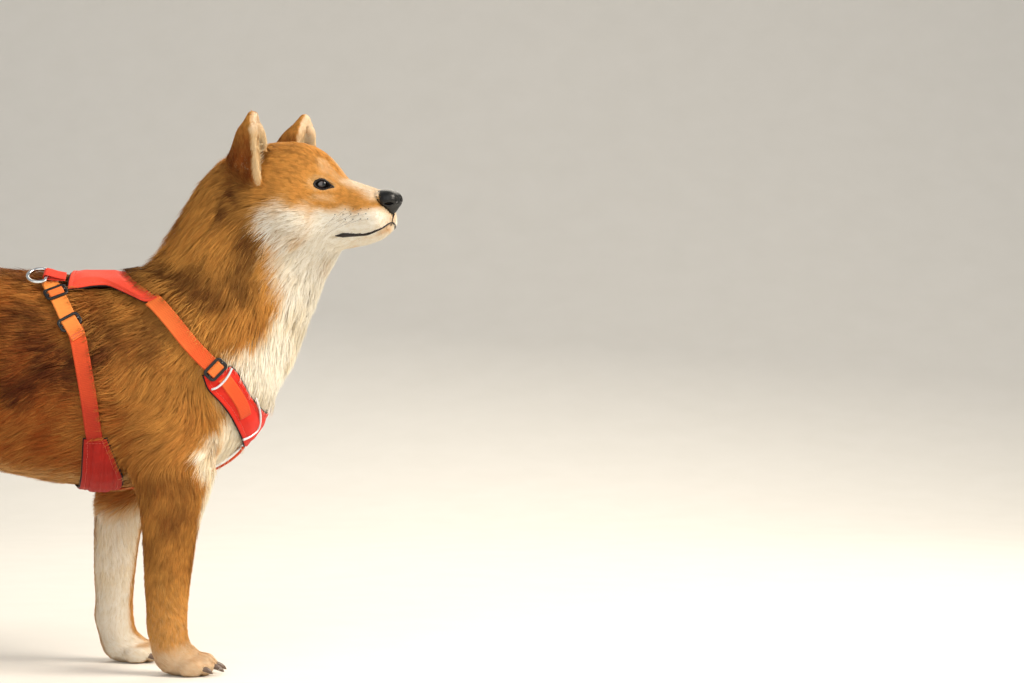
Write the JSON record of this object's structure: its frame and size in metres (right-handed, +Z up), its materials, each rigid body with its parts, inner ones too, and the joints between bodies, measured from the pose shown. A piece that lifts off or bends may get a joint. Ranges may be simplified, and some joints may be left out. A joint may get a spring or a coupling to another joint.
{
  "type": "shiba inu in a walking harness",
  "caption": "Life-size still model of a standing shiba inu, head turned to its right and tail curled over its back, in a red walking harness with a steel lead ring.",
  "frame": {"origin": "on the floor, at the middle of the rectangle that the dog covers seen from above", "axes": "+X forward along the dog's body, +Y to the dog's left, +Z up"},
  "size_m": [0.6332, 0.1674, 0.5604],
  "materials": {
    "coat": "matt short double coat, red with dark tips",
    "pale_coat": "matt short cream coat",
    "eye": "wet, dark brown",
    "nose": "moist black, finely pebbled",
    "panel_cloth": "matt red woven cloth over padding",
    "webbing": "matt orange ribbed webbing",
    "buckle": "moulded black, satin",
    "ring": "polished wire, lightly worn"
  },
  "bodies": {
    "root": {"head": "coat", "neck": "coat", "chest": "coat", "loin": "coat", "rump": "coat", "tail_base": "coat", "tail_curl": "coat", "ear_right": "coat", "foreleg_right": "coat", "thigh_right": "coat", "forepaw_right": "pale_coat", "hindpaw_right": "pale_coat", "eye_right": "eye", "shoulder_strap_right": "webbing", "chest_strap_right": "webbing", "side_strap_upper_right": "webbing", "side_strap_right": "webbing", "chest_slider_right": "buckle", "top_buckle_right": "buckle", "side_slider_right": "buckle", "ear_left": "coat", "foreleg_left": "coat", "thigh_left": "coat", "forepaw_left": "pale_coat", "hindpaw_left": "pale_coat", "eye_left": "eye", "shoulder_strap_left": "webbing", "chest_strap_left": "webbing", "side_strap_upper_left": "webbing", "side_strap_left": "webbing", "chest_slider_left": "buckle", "top_buckle_left": "buckle", "side_slider_left": "buckle", "nose": "nose", "yoke": "panel_cloth", "chest_panel": "panel_cloth", "belly_panel": "panel_cloth", "ring_link": "panel_cloth", "sternum_strap": "webbing", "lead_ring": "ring"}
  },
  "joints": []
}
